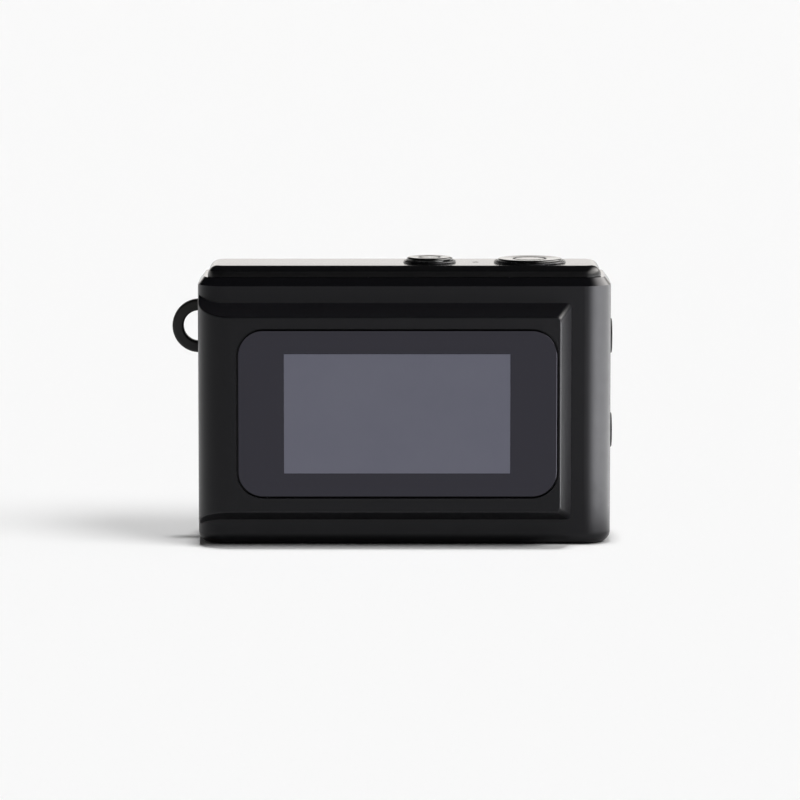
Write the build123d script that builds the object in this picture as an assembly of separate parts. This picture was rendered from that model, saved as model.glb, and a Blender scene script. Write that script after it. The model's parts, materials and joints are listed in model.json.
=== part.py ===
from build123d import *
import os

# Pocket geiger counter, in millimetres. Seen from the display side, +X is right and +Z is up.
# The display faces -Y. The origin is the centre of the flat underside.

# Case
body_width = 78.6
body_depth = 21.9
seam_z = 50.95            # top of the shells, where the top cap sits
cap_height = 2.1
corner_radius = 5.2       # upright corners, seen from above
bottom_radius = 2.2
bevel_run = 1.15          # planar bevel round the top of the shells
bevel_high = 1.5
ledge = 0.75              # flat strip between the bevel and the cap
cap_edge_radius = 1.9
wall = 1.6
split_y = 5.5             # plane where the front and rear shells meet
groove_deep = 0.25        # parting line
groove_half = 0.1

# Raised display block on the front
block_step = 5.5          # how far it stands out
block_run = 2.12          # how far each sloping side leans in over that step
block_low = 4.91          # its edges at the body's front face
block_high = 46.25
block_right = 31.62
block_left = -39.15
block_corner = 6.5        # rounded edge that leads into the left side
block_front_wall = 2.4

# Window and display
window_width = 60.15
window_height = 31.55
window_radius = 4.7
window_x = -1.3
window_z = 25.8
window_gap = 0.36
window_thick = 1.1
window_sunk = 0.12
tape_thick = 0.15
active_width = 42.72
active_height = 22.70
active_x = -1.39
active_z = 25.78
panel_margin = 1.8
panel_tail = 1.7          # extra glass on the side where the flex is bonded
panel_thick = 1.0
backlight_thick = 1.5

# Top buttons
power_x = 4.83
measure_x = 23.97
button_radii = {"power": 4.4, "measure": 6.25}
button_tops = {"power": 1.05, "measure": 0.8}
collar_wall = 0.5
collar_proud = 0.42
button_gap = 0.13
counterbore_deep = 1.1
hub_radius = 2.5
hub_gap = 0.08
clip_radius = 3.4
clip_thick = 0.4
press_travel = 0.3
lamp_x = 13.6
lamp_radius = 0.6

# Side keys
key_radius = 3.37
key_gap = 0.15
key_heights = {"upper": 38.95, "lower": 20.8}
key_proud = 0.44

# Strap loop
loop_z = 40.9
loop_outer = 5.1
loop_inner = 2.96
loop_thick = 2.4

# Case screws
screw_x = 32.8
screw_low = 5.6
screw_high = 44.8
boss_radius = 2.2
insert_radius = 1.25
insert_length = 3.0
thread_radius = 0.8
head_radius = 1.5
head_high = 1.0

# Boards
board_front = -9.2        # display side of the main board
board_thick = 1.0
board_left = -36.5
board_right = 30.0
board_low = 8.4
board_high = 42.0
board_screw_x = (-29.2, 27.2)
board_screw_z = (11.5, 39.5)
board_thread_radius = 0.7
hv_front = -3.2
hv_thick = 1.0
hv_left = -30.0
hv_right = 26.0
hv_low = 27.5
hv_high = 44.0
top_board_low = 46.8
top_board_thick = 1.0
top_board_left = -4.0
top_board_right = 31.6
side_board_x = 32.8
side_board_thick = 0.8

# Tube, battery, sounder and port
tube_radius = 5.0
tube_left = -23.0
tube_right = 19.0
tube_y = 3.4
tube_z = 36.0
end_cap_radius = 3.6
end_cap_long = 5.0
battery_size = (50.0, 7.4, 22.0)
battery_centre = (0.0, 5.2, 14.6)
sounder_x = 29.9
sounder_z = 13.2
sounder_radius = 4.2
port_y = -6.6
port_z = 15.0
port_wide = 8.94
port_thick = 3.2
port_long = 7.3

# Worked out from the above
body_height = seam_z + cap_height
body_front = -body_depth / 2
body_back = body_depth / 2
side_x = body_width / 2
block_front = body_front - block_step
ceiling_z = seam_z - wall
cap_width = body_width - 2 * (bevel_run + ledge)
cap_depth = body_depth - 2 * (bevel_run + ledge)
cap_corner = corner_radius - bevel_run - ledge
board_back = board_front + board_thick
hv_back = hv_front + hv_thick
top_board_high = top_board_low + top_board_thick
window_front = block_front + window_sunk
window_back = window_front + window_thick
tape_back = window_back + tape_thick
panel_width = active_width + 2 * panel_margin + panel_tail
panel_height = active_height + 2 * panel_margin
panel_x = active_x + panel_tail / 2
panel_back = window_back + panel_thick
backlight_back = panel_back + backlight_thick
button_places = {"power": power_x, "measure": measure_x}
counterbore_z = body_height - counterbore_deep
disc_low = counterbore_z + press_travel + 0.15
plunger_top = seam_z - 0.95
clip_top = seam_z - 0.05


# ---- shape helpers -------------------------------------------------------

def box_at(low, high):
    size = [b - a for a, b in zip(low, high)]
    middle = [(a + b) / 2 for a, b in zip(low, high)]
    return Pos(*middle) * Box(*size)


def rod_x(radius, start, end, y, z):
    return Pos((start + end) / 2, y, z) * Rot(0, 90, 0) * Cylinder(radius, end - start)


def rod_y(radius, start, end, x, z):
    return Pos(x, (start + end) / 2, z) * Rot(90, 0, 0) * Cylinder(radius, end - start)


def rod_z(radius, start, end, x, y):
    return Pos(x, y, (start + end) / 2) * Cylinder(radius, end - start)


# Rounded plates, named for the axis that they are thick along
def plate_x(depth, height, radius, start, end, y=0, z=0):
    outline = Plane.YZ * Pos(y, z, start) * RectangleRounded(depth, height, radius)
    return extrude(outline, end - start)


def plate_y(width, height, radius, start, end, x=0, z=0):
    outline = Plane.XZ * Pos(x, z, -end) * RectangleRounded(width, height, radius)
    return extrude(outline, end - start)


def plate_z(width, depth, radius, start, end, x=0, y=0):
    outline = Pos(x, y, start) * RectangleRounded(width, depth, radius)
    return extrude(outline, end - start)


def group(shapes):
    return Compound([solid for shape in shapes for solid in shape.solids()])


# A wire or ribbon: a closed section swept along straight runs joined by arcs.
# The section's X side lies along across.
def swept(points, radii, section, across=(0, 0, 1)):
    path = FilletPolyline(*points, radius=radii)
    return sweep(Plane(origin=path @ 0, x_dir=across, z_dir=path % 0) * section, path=path)


# ---- case ----------------------------------------------------------------

# The main body, or with an inset the hollow inside it: soft bottom edge, planar bevel round the top
def body_form(inset=0.0):
    width = body_width - 2 * inset
    depth = body_depth - 2 * inset
    radius = corner_radius - inset
    top = seam_z - inset
    upright = plate_z(width, depth, radius, inset, top - bevel_high)
    upright = fillet(upright.faces().sort_by(Axis.Z)[0].edges(), bottom_radius - inset)
    upper = loft([
        Pos(0, 0, top - bevel_high) * RectangleRounded(width, depth, radius),
        Pos(0, 0, top) * RectangleRounded(
            width - 2 * bevel_run, depth - 2 * bevel_run, radius - bevel_run),
    ])
    return upright + upper


# The raised block: a prism with sloping top and bottom, cut by a plan with a sloping right end and a
# rounded left edge. Its slopes run on behind the body's face until they meet the body's left side.
def block_form(inset=0.0, front_wall=0.0):
    front = block_front + front_wall
    back = body_front + corner_radius
    lean_front = (body_front - front) * block_run / block_step
    lean_back = (back - body_front) * block_run / block_step
    low = block_low + inset
    high = block_high - inset
    left = block_left + inset
    right = block_right - inset
    side_view = Plane.YZ * Pos(0, 0, left) * make_face(Polyline(
        (front, low + lean_front), (front, high - lean_front),
        (back, high + lean_back), (back, low - lean_back), close=True))
    plan = make_face(Polyline(
        (left, front), (right - lean_front, front), (right + lean_back, back), (left, back), close=True))
    column = extrude(plan, body_height)
    front_left = column.edges().filter_by(Axis.Z).sort_by(Axis.X)[:2].sort_by(Axis.Y)[0]
    column = fillet(front_left, block_corner - inset)
    return column & extrude(side_view, body_width)


# Softened corners and edges of the block's outside
def soften_block(block):
    mitres = block.edges().filter_by(
        lambda edge: abs((edge % 0.5).X) > 0.1 and abs((edge % 0.5).Y) > 0.5 and (edge @ 0.5).X > 0)
    block = fillet(mitres, 1.0)
    back = body_front + corner_radius
    rim = block.faces().sort_by(Axis.Y)[0].edges()
    rim = rim.filter_by(lambda edge: (edge @ 0.5).X > block_left + 7)
    return fillet(rim, 0.3)


def case_outside():
    return body_form() + soften_block(block_form())


def case_inside():
    return body_form(wall) + block_form(wall, block_front_wall)


def screw_places():
    return [(x, z) for x in (-screw_x, screw_x) for z in (screw_low, screw_high)]


def board_screw_places():
    return [(x, z) for x in board_screw_x for z in board_screw_z]


# A thin ring just under the surface at the parting plane
def parting_groove():
    slab = box_at((-60, split_y - groove_half, -5), (60, split_y + groove_half, 60))
    return (body_form() - body_form(groove_deep)) & slab


def seal_ring():
    slab = box_at((-60, split_y, -5), (60, split_y + 0.6, 60))
    return (body_form(0.45) - body_form(1.15)) & slab


cap_screw_x = (-32.0, -12.0, 34.2)
top_board_screw_x = (-1.6, 29.4)
opening_left = 0.9
opening_right = 27.9
opening_half = 4.2


def front_shell(outside, inside):
    front_half = box_at((-60, -30, -5), (60, split_y, 70))
    shell = (outside - inside) & front_half
    bosses = [rod_y(boss_radius, block_front, split_y, x, z) for x, z in screw_places()]
    bosses += [rod_y(1.8, block_front, board_front, x, z) for x, z in board_screw_places()]
    shell += [boss & outside for boss in bosses]
    # posts that carry the top board, a stop block and a rib that hold the side board
    shell += [rod_z(1.6, top_board_high, ceiling_z + 0.2, x, 0) for x in top_board_screw_x]
    shell += box_at((side_board_x + side_board_thick, -1.8, 28.1), (side_x - 0.5, 1.8, 31.7))
    shell += box_at((side_board_x - 1.2, body_front + 0.5, 28.1), (side_board_x, -2.0, 31.7))
    # window pocket and the opening behind it
    pocket_width = window_width + 2 * window_gap
    pocket_height = window_height + 2 * window_gap
    shell -= plate_y(pocket_width, pocket_height, window_radius + window_gap,
                     block_front - 1, tape_back, window_x, window_z)
    shell -= plate_y(panel_width + 0.4, panel_height + 0.4, 0.6, tape_back - 1, -10, panel_x, active_z)
    panel_end = panel_x + panel_width / 2
    shell -= box_at((panel_end - 1, tape_back, active_z - 5.4), (panel_end + 1.8, -10, active_z + 5.4))
    # screw holes
    for x, z in screw_places():
        shell -= rod_y(insert_radius, split_y - insert_length, split_y, x, z)
        shell -= rod_y(thread_radius + 0.1, split_y - insert_length - 1.5, split_y, x, z)
    for x, z in board_screw_places():
        shell -= rod_y(board_thread_radius, board_front - 4, board_front, x, z)
    for x in top_board_screw_x:
        shell -= rod_z(board_thread_radius, top_board_high, top_board_high + 2.2, x, 0)
    for x in cap_screw_x:
        shell -= rod_z(1.65, ceiling_z - 1, seam_z, x, 0)
    # opening under the top buttons
    shell -= box_at((opening_left, -opening_half, ceiling_z - 1), (opening_right, opening_half, seam_z))
    # holes for the side keys, the port and the strap loop's two legs
    for z in key_heights.values():
        shell -= rod_x(key_radius + key_gap, side_x - 3, side_x + 1, 0, z)
    shell -= plate_x(port_thick + 0.5, port_wide + 0.5, 1.8, -side_x - 1, -side_x + 3, port_y, port_z)
    middle = (loop_outer + loop_inner) / 2
    half = (loop_outer - loop_inner) / 2
    for z in (loop_z - middle, loop_z + middle):
        shell -= box_at((-side_x - 1, -loop_thick / 2, z - half),
                        (-side_x + 3, loop_thick / 2, z + half))
    return shell - parting_groove()


slot_wide = 1.5
slot_high = 9.0
slot_pitch = 4.0
slot_count = 9


def sounder_holes():
    ring = [(1.9, 0), (-1.9, 0), (0.95, 1.65), (-0.95, 1.65), (0.95, -1.65), (-0.95, -1.65)]
    inside = body_back - wall - 1
    return [rod_y(0.5, inside, body_back + 1, sounder_x + x, sounder_z + z) for x, z in [(0, 0)] + ring]


def rear_shell(outside, inside):
    rear_half = box_at((-60, split_y, -5), (60, 30, 70))
    shell = (outside - inside) & rear_half
    shell += [rod_y(boss_radius, split_y, body_back - 0.5, x, z) for x, z in screw_places()]
    for x, z in screw_places():
        shell -= rod_y(head_radius + 0.15, body_back - head_high - 0.3, body_back + 1, x, z)
        shell -= rod_y(thread_radius + 0.1, split_y - 1, body_back, x, z)
    middle_x = (tube_left + tube_right) / 2
    for index in range(slot_count):
        x = middle_x + (index - (slot_count - 1) / 2) * slot_pitch
        shell -= plate_y(slot_wide, slot_high, slot_wide / 2 - 0.01,
                         body_back - wall - 1, body_back + 1, x, tube_z)
    for hole in sounder_holes():
        shell -= hole
    return shell - parting_groove() - seal_ring()


def top_cap():
    cap = plate_z(cap_width, cap_depth, cap_corner, seam_z, body_height)
    cap = fillet(cap.faces().sort_by(Axis.Z)[-1].edges(), cap_edge_radius)
    # shadow line where the cap meets the shells
    seam = plate_z(cap_width + 1, cap_depth + 1, cap_corner, seam_z, seam_z + 0.12)
    seam -= plate_z(cap_width - 0.5, cap_depth - 0.5, cap_corner - 0.25, seam_z, seam_z + 0.12)
    cap -= seam
    for name, x in button_places.items():
        outer = button_radii[name] + button_gap + collar_wall
        cap -= rod_z(outer, counterbore_z, body_height + 1, x, 0)
        cap -= rod_z(hub_radius + hub_gap, seam_z - 1, body_height, x, 0)
    cap -= rod_z(lamp_radius, seam_z - 1, body_height + 1, lamp_x, 0)
    for x in cap_screw_x:
        cap += rod_z(1.6, ceiling_z + 0.1, seam_z + 0.2, x, 0)
        cap -= rod_z(board_thread_radius, ceiling_z, seam_z + 1.0, x, 0)
    return cap


def case_inserts():
    sleeves = []
    for x, z in screw_places():
        sleeve = rod_y(insert_radius, split_y - insert_length, split_y, x, z)
        bore = rod_y(thread_radius + 0.02, split_y - insert_length - 1, split_y + 1, x, z)
        sleeves.append(sleeve - bore)
    return group(sleeves)


# A cross-recessed screw along +Y, its head's underside at seat_y, pointing towards -Y
def screw_along_y(x, z, seat_y, length, shank, head, high):
    body = rod_y(shank, seat_y - length, seat_y, x, z) + rod_y(head, seat_y, seat_y + high, x, z)
    body = fillet(body.faces().sort_by(Axis.Y)[-1].edges(), high * 0.35)
    reach = head * 0.6
    slot = high * 0.2
    body -= box_at((x - reach, seat_y + high * 0.5, z - slot), (x + reach, seat_y + high + 1, z + slot))
    body -= box_at((x - slot, seat_y + high * 0.5, z - reach), (x + slot, seat_y + high + 1, z + reach))
    return body


def case_screws():
    seat = body_back - head_high - 0.3
    return group([screw_along_y(x, z, seat, 6.4, thread_radius, head_radius, head_high)
                  for x, z in screw_places()])


# A flanged screw driven upwards, its head's top at seat_z
def screw_upwards(x, seat_z, length, shank, head, high):
    body = rod_z(shank, seat_z, seat_z + length, x, 0) + rod_z(head, seat_z - high, seat_z, x, 0)
    slot = 0.18
    bottom = seat_z - high - 1
    body -= box_at((x - head * 0.5, -slot, bottom), (x + head * 0.5, slot, seat_z - high * 0.5))
    body -= box_at((x - slot, -head * 0.5, bottom), (x + slot, head * 0.5, seat_z - high * 0.5))
    return body


def cap_screws():
    return group([screw_upwards(x, ceiling_z, 2.4, board_thread_radius, 2.1, 0.7) for x in cap_screw_x])


def top_board_screws():
    return group([screw_upwards(x, top_board_low, 3.0, board_thread_radius, 1.3, 0.7)
                  for x in top_board_screw_x])


# ---- strap loop ----------------------------------------------------------

def strap_loop():
    ring = rod_y(loop_outer, -loop_thick / 2, loop_thick / 2, -side_x, loop_z)
    ring -= rod_y(loop_inner, -loop_thick, loop_thick, -side_x, loop_z)
    ring &= box_at((-side_x - 10, -5, loop_z - 10), (-side_x, 5, loop_z + 10))
    edges = ring.edges().filter_by(GeomType.CIRCLE)
    ring = fillet(edges, 0.45)
    middle = (loop_outer + loop_inner) / 2
    half = (loop_outer - loop_inner) / 2 - 0.05
    thick = loop_thick / 2 - 0.05
    for z in (loop_z - middle, loop_z + middle):
        ring += box_at((-side_x - 0.2, -thick, z - half), (-side_x + wall + 0.3, thick, z + half))
    ring += plate_x(6.0, 2 * loop_outer - 1.8, 1.0, -side_x + wall, -side_x + wall + 1.1, 0, loop_z)
    return ring


# ---- window and display --------------------------------------------------

def display_window():
    glass = plate_y(window_width, window_height, window_radius,
                    window_front, window_back, window_x, window_z)
    return chamfer(glass.faces().sort_by(Axis.Y)[0].edges(), 0.18)


def window_tape():
    tape = plate_y(window_width - 0.6, window_height - 0.6, window_radius - 0.3, window_back, tape_back,
                   window_x, window_z)
    return tape - box_at((panel_x - panel_width / 2 - 0.2, -30, active_z - panel_height / 2 - 0.2),
                         (panel_x + panel_width / 2 + 0.2, 0, active_z + panel_height / 2 + 0.2))


def display_panel():
    return plate_y(panel_width, panel_height, 0.4, window_back, panel_back, panel_x, active_z)


def display_backlight():
    frame = plate_y(panel_width, panel_height, 0.4, panel_back, backlight_back, panel_x, active_z)
    light = plate_y(active_width + 1, active_height + 1, 0.4,
                    panel_back, panel_back + 1.0, active_x, active_z)
    return frame - light


# The bright sheet that lies in the backlight's tray
def light_guide():
    return plate_y(active_width + 0.9, active_height + 0.9, 0.4,
                   panel_back, panel_back + 0.95, active_x, active_z)


# Hollow tray that holds the display off the main board
def display_support():
    tray = plate_y(panel_width - 1, panel_height - 1, 0.8,
                   backlight_back, board_front, panel_x, active_z)
    return tray - plate_y(panel_width - 5, panel_height - 5, 0.8,
                          backlight_back + 0.8, board_front, panel_x, active_z)


flex_thick = 0.12


# Display tail: out of the panel's right end, round the tray and down onto the main board
def display_flex():
    start = panel_x + panel_width / 2
    y_start = panel_back - 0.3
    y_end = board_front - 0.7
    points = [(start, y_start, active_z), (start + 1.3, y_start, active_z),
              (start + 1.3, y_end, active_z), (start + 2.6, y_end, active_z)]
    return swept(points, [0.6, 0.6], Rectangle(10.0, flex_thick))


def display_socket():
    start = panel_x + panel_width / 2 + 2.6
    return box_at((start, board_front - 1.2, active_z - 6), (start + 1.6, board_front, active_z + 6))


# ---- top buttons ---------------------------------------------------------

def collar(name):
    x = button_places[name]
    inner = button_radii[name] + button_gap
    ring = rod_z(inner + collar_wall, counterbore_z, body_height + collar_proud, x, 0)
    ring = fillet(ring.faces().sort_by(Axis.Z)[-1].edges(), 0.3)
    return ring - rod_z(inner, counterbore_z - 1, body_height + 2, x, 0)


def top_button(name):
    x = button_places[name]
    top = body_height + button_tops[name]
    radius = button_radii[name]
    disc = rod_z(radius, disc_low, top, x, 0)
    disc = fillet(disc.faces().sort_by(Axis.Z)[-1].edges(), 0.45)
    # shallow finger dish
    dish_deep = 0.25
    dish_half = radius * 0.78
    ball = (dish_half ** 2 + dish_deep ** 2) / (2 * dish_deep)
    disc -= Pos(x, 0, top + ball - dish_deep) * Sphere(ball)
    disc += rod_z(hub_radius, clip_top, disc_low, x, 0)
    disc += rod_z(hub_radius - 0.4, clip_top - clip_thick, clip_top, x, 0)
    return disc + rod_z(hub_radius, plunger_top, clip_top - clip_thick, x, 0)


def button_clip(name):
    x = button_places[name]
    ring = rod_z(clip_radius, clip_top - clip_thick, clip_top, x, 0)
    return ring - rod_z(hub_radius - 0.4, seam_z - 3, seam_z + 1, x, 0)


switch_high = 1.7
switch_half = 2.6


def top_switch_cans():
    cans = []
    for x in button_places.values():
        can = box_at((x - switch_half, -switch_half, top_board_high),
                     (x + switch_half, switch_half, top_board_high + switch_high))
        cans.append(can - rod_z(1.45, top_board_high + 0.4, top_board_high + 3, x, 0))
    return group(cans)


def top_plunger(name):
    return rod_z(1.35, top_board_high + 0.8, plunger_top, button_places[name], 0)


def top_board():
    board = box_at((top_board_left, -5.4, top_board_low), (top_board_right, 4.8, top_board_high))
    for x in top_board_screw_x:
        board -= rod_z(board_thread_radius + 0.05, top_board_low - 1, top_board_high + 1, x, 0)
    return board


def status_lamp():
    return box_at((lamp_x - 0.8, -0.4, top_board_high), (lamp_x + 0.8, 0.4, top_board_high + 0.7))


def light_pipe():
    pipe = rod_z(lamp_radius - 0.01, top_board_high + 0.8, body_height - 0.05, lamp_x, 0)
    return pipe + rod_z(1.2, seam_z - 0.6, seam_z, lamp_x, 0)


# Ribbon from the top board's front edge down onto the main board
def top_board_flex():
    y_top = -5.4
    y_low = board_back + 0.5
    x = 10.0
    high = top_board_low - 0.1
    points = [(x, y_top + 1.5, high), (x, y_low, high), (x, y_low, board_high - 2.5)]
    return swept(points, [2.0], Rectangle(6.0, flex_thick), across=(1, 0, 0))


# ---- side keys -----------------------------------------------------------

key_flange_outer = side_x - wall - 0.05
key_flange_inner = key_flange_outer - 0.7
key_hub_end = key_flange_inner - 1.05
can_inner = side_board_x + side_board_thick
can_outer = can_inner + 1.9


def side_key(name):
    z = key_heights[name]
    key = rod_x(key_radius, key_flange_inner, side_x + key_proud, 0, z)
    key = fillet(key.faces().sort_by(Axis.X)[-1].edges(), 0.35)
    key += rod_x(key_radius + 0.75, key_flange_inner, key_flange_outer, 0, z)
    return key + rod_x(1.5, key_hub_end, key_flange_inner, 0, z)


def side_plunger(name):
    return rod_x(0.9, can_inner + 1.2, key_hub_end, 0, key_heights[name])


def side_switch_cans():
    cans = []
    for z in key_heights.values():
        can = box_at((can_inner, -2.2, z - 2.2), (can_outer, 2.2, z + 2.2))
        cans.append(can - rod_x(1.05, can_inner + 0.7, can_outer + 1, 0, z))
    return group(cans)


def side_board():
    return box_at((side_board_x, -4.8, 16.8), (side_board_x + side_board_thick, 4.6, 42.4))


# Ribbon from the side board's front edge to the main board
def side_board_flex():
    x_side = side_board_x - 0.1
    z = 24.0
    y_end = board_back + 0.1
    points = [(x_side, -3.0, z), (x_side, y_end, z), (board_right - 2.0, y_end, z)]
    return swept(points, [1.5], Rectangle(4.0, flex_thick))


# ---- boards and their parts ----------------------------------------------

def main_board():
    board = plate_y(board_right - board_left, board_high - board_low, 0.8, board_front, board_back,
                    (board_left + board_right) / 2, (board_low + board_high) / 2)
    for x, z in board_screw_places():
        board -= rod_y(board_thread_radius + 0.1, board_front - 1, board_back + 1, x, z)
    return board


def main_board_screws():
    return group([screw_along_y(x, z, board_back, 4.0, board_thread_radius, 1.3, 0.8)
                  for x, z in board_screw_places()])


# A chip or block standing on the rear of the board that ends at back_y
def chip(x, z, width, height, thick, back_y=None):
    foot = board_back if back_y is None else back_y
    return box_at((x - width / 2, foot, z - height / 2), (x + width / 2, foot + thick, z + height / 2))


def processor():
    return chip(-6, 19, 7, 7, 0.9)


def power_chips():
    return group([chip(8, 14, 4, 4, 0.9), chip(-22, 20, 3, 3, 0.8), chip(15, 22, 5, 4, 1.0)])


def small_parts():
    places = [(-14, 14), (-14, 17), (-14, 20), (-14, 23), (2, 12),
              (2, 15), (2, 22), (14, 14), (17, 14), (20, 14)]
    return group([chip(x, z, 1.0, 1.6, 0.6) for x, z in places])


def inductor():
    return chip(8, 21.5, 4, 4, 1.9)


def hv_board():
    return plate_y(hv_right - hv_left, hv_high - hv_low, 0.8, hv_front, hv_back,
                   (hv_left + hv_right) / 2, (hv_low + hv_high) / 2)


def hv_standoffs():
    return group([rod_y(1.5, board_back, hv_front, x, z) for x in (-25.6, 22.8) for z in (29.4, 40.4)])


def hv_transformer():
    core = box_at((-17, -7.6, 32), (-7, hv_front, 41))
    return core - box_at((-15.2, -8, 30), (-13.4, hv_front - 0.8, 45)) - box_at(
        (-10.6, -8, 30), (-8.8, hv_front - 0.8, 45))


def hv_capacitors():
    blocks = [box_at((x - 2.8, -6.2, 34), (x + 2.8, hv_front, 39)) for x in (0.0, 7.5, 15.0)]
    return group([fillet(block.edges(), 0.5) for block in blocks])


def board_link():
    return box_at((-21.5, board_back, 29), (-11.5, hv_front, 31.4))


def geiger_tube():
    tube = rod_x(tube_radius, tube_left, tube_right, tube_y, tube_z)
    return fillet(tube.edges().filter_by(GeomType.CIRCLE), 1.2)


def tube_end_caps():
    return group([
        rod_x(end_cap_radius, tube_left - end_cap_long, tube_left, tube_y, tube_z),
        rod_x(end_cap_radius, tube_right, tube_right + end_cap_long, tube_y, tube_z),
    ])


# Springy forks on the high-voltage board that grip the tube's end caps
def tube_clips():
    clips = []
    for x in (tube_left - end_cap_long / 2, tube_right + end_cap_long / 2):
        fork = box_at((x - 1.6, hv_back, tube_z - end_cap_radius - 0.5),
                      (x + 1.6, tube_y + 2.6, tube_z + end_cap_radius + 0.5))
        fork -= box_at((x - 3, hv_back + 0.5, tube_z - end_cap_radius),
                       (x + 3, 20, tube_z + end_cap_radius))
        clips.append(fork)
    return group(clips)


def tube_cushions():
    rings = []
    for x in (tube_left + 8, tube_right - 8):
        ring = rod_x(tube_radius + 0.55, x - 2, x + 2, tube_y, tube_z)
        rings.append(ring - rod_x(tube_radius, x - 4, x + 4, tube_y, tube_z))
    return group(rings)


def sensor_membrane():
    middle_x = (tube_left + tube_right) / 2
    width = (slot_count - 1) * slot_pitch + slot_wide + 4
    return plate_y(width, slot_high + 3, 1.0,
                   body_back - wall - 0.2, body_back - wall, middle_x, tube_z)


def sounder():
    can = rod_y(sounder_radius, 5.6, 9.0, sounder_x, sounder_z)
    return can - rod_y(0.8, 8.0, 9.5, sounder_x, sounder_z)


def sounder_mesh():
    return rod_y(sounder_radius, 9.0, body_back - wall, sounder_x, sounder_z)


# ---- battery -------------------------------------------------------------

def battery_cell():
    cell = Pos(*battery_centre) * Box(*battery_size)
    return fillet(cell.edges().filter_by(Axis.X), 1.6)


def battery_pad():
    width, deep, high = battery_size
    x, y, z = battery_centre
    return plate_y(width - 8, high - 6, 1.0, y + deep / 2, body_back - wall, x, z)


lead_radius = 0.5
lead_heights = (17.0, 19.4)
lead_turn_x = 28.4
plug_back = board_back + 3.4


# Two leads out of the cell's right end, turning forward into their plug on the main board
def battery_leads():
    x, y, _ = battery_centre
    start = x + battery_size[0] / 2
    return group([
        swept([(start, y - 1.0, z), (lead_turn_x, y - 1.0, z), (lead_turn_x, plug_back, z)], [2.6],
              Circle(lead_radius))
        for z in lead_heights
    ])


def battery_plug():
    middle = sum(lead_heights) / 2
    return box_at((lead_turn_x - 1.5, board_back, middle - 3),
                  (lead_turn_x + 1.5, plug_back, middle + 3))


# ---- port ----------------------------------------------------------------

def charging_port():
    mouth = -side_x + 0.45
    shell = plate_x(port_thick, port_wide, 1.55, mouth, mouth + port_long, port_y, port_z)
    shell -= plate_x(port_thick - 0.6, port_wide - 0.6, 1.25,
                     mouth - 1, mouth + port_long - 1, port_y, port_z)
    tongue = plate_x(0.7, 6.7, 0.3, mouth + 1.0, mouth + port_long - 0.5, port_y, port_z)
    return shell + tongue


# ---- write every piece ---------------------------------------------------

def all_pieces():
    outside = case_outside()
    inside = case_inside()
    pieces = {
        "front_shell": front_shell(outside, inside),
        "rear_shell": rear_shell(outside, inside),
        "case_seal": seal_ring(),
        "top_cap": top_cap(),
        "strap_loop": strap_loop(),
        "case_inserts": case_inserts(),
        "case_screws": case_screws(),
        "cap_screws": cap_screws(),
        "display_window": display_window(),
        "window_tape": window_tape(),
        "display_panel": display_panel(),
        "display_backlight": display_backlight(),
        "light_guide": light_guide(),
        "display_support": display_support(),
        "display_flex": display_flex(),
        "display_socket": display_socket(),
        "top_board": top_board(),
        "top_board_screws": top_board_screws(),
        "top_board_flex": top_board_flex(),
        "top_switch_cans": top_switch_cans(),
        "status_lamp": status_lamp(),
        "light_pipe": light_pipe(),
        "side_board": side_board(),
        "side_board_flex": side_board_flex(),
        "side_switch_cans": side_switch_cans(),
        "main_board": main_board(),
        "main_board_screws": main_board_screws(),
        "processor": processor(),
        "power_chips": power_chips(),
        "small_parts": small_parts(),
        "inductor": inductor(),
        "hv_board": hv_board(),
        "hv_standoffs": hv_standoffs(),
        "hv_transformer": hv_transformer(),
        "hv_capacitors": hv_capacitors(),
        "board_link": board_link(),
        "geiger_tube": geiger_tube(),
        "tube_end_caps": tube_end_caps(),
        "tube_clips": tube_clips(),
        "tube_cushions": tube_cushions(),
        "sensor_membrane": sensor_membrane(),
        "sounder": sounder(),
        "sounder_mesh": sounder_mesh(),
        "battery_cell": battery_cell(),
        "battery_pad": battery_pad(),
        "battery_leads": battery_leads(),
        "battery_plug": battery_plug(),
        "charging_port": charging_port(),
    }
    for name in button_places:
        pieces[name + "_button"] = top_button(name)
        pieces[name + "_button_clip"] = button_clip(name)
        pieces[name + "_button_collar"] = collar(name)
        pieces[name + "_switch_plunger"] = top_plunger(name)
    for name in key_heights:
        pieces[name + "_side_key"] = side_key(name)
        pieces[name + "_key_plunger"] = side_plunger(name)
    return pieces


os.makedirs("parts", exist_ok=True)
for piece_name, piece in all_pieces().items():
    export_step(piece, "parts/" + piece_name + ".step")
    print(piece_name, round(piece.volume, 2), len(piece.solids()))
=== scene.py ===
import json
import math

import bpy
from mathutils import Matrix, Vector


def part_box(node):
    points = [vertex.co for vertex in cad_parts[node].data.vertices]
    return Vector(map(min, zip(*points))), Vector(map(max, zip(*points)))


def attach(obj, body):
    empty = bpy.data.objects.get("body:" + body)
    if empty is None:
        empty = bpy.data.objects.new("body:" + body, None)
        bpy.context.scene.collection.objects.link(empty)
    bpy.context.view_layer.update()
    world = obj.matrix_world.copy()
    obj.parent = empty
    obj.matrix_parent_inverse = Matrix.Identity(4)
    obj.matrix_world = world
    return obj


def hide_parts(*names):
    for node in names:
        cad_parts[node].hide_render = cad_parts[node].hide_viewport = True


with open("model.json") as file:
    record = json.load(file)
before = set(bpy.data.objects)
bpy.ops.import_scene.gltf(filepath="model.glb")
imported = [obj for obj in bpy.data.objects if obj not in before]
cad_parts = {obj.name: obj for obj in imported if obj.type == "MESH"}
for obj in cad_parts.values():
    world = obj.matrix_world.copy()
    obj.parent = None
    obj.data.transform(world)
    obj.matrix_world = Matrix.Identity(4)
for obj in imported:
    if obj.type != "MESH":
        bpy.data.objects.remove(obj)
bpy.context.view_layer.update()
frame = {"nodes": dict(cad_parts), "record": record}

nodes = frame["nodes"]
mm = 0.001


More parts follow.
